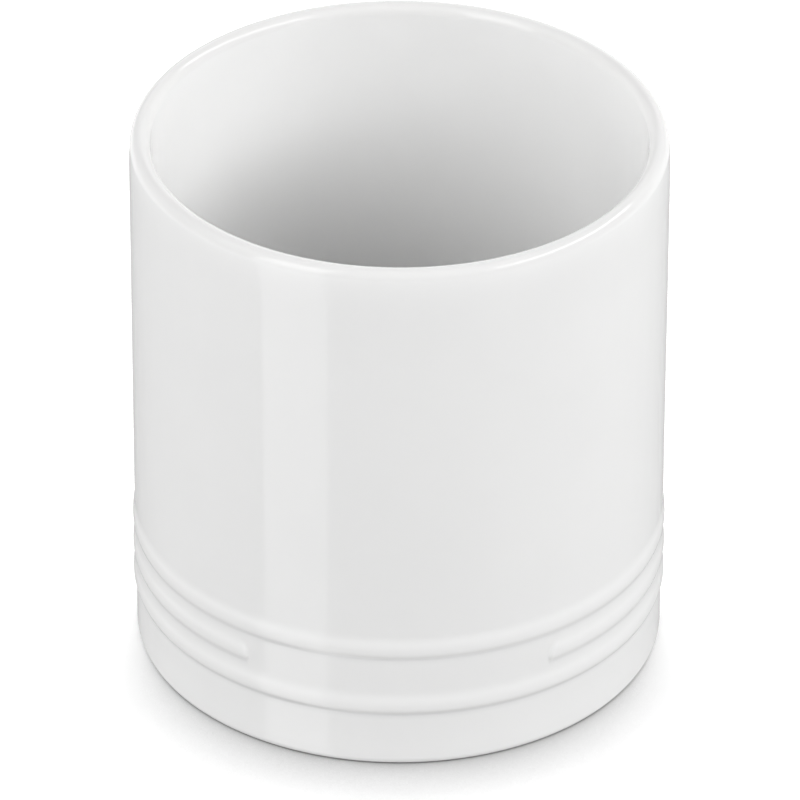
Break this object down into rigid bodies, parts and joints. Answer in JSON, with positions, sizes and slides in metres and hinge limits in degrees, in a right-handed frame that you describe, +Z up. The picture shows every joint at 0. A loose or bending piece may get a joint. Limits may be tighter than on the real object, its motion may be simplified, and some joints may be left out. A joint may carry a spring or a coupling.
{
  "type": "utensil crock",
  "caption": "Straight round glazed stoneware crock for kitchen utensils, with a full-round lip, flared rings broken by a bare panel at the front, a plain foot zone and a bare foot ring.",
  "frame": {"origin": "middle of the base, on the surface that the crock stands on", "axes": "+Z up along the crock's own axis, -Y towards the front, where the bare panel in the middle ring is"},
  "size_m": [0.1208, 0.1208, 0.1288],
  "materials": {
    "bare_stoneware": "matt fired clay, bare on the foot ring",
    "white_glaze": "glossy white glaze"
  },
  "bodies": {
    "root": {"clay_body": "bare_stoneware", "glaze_coat": "white_glaze", "underside_glaze": "white_glaze"}
  },
  "joints": []
}
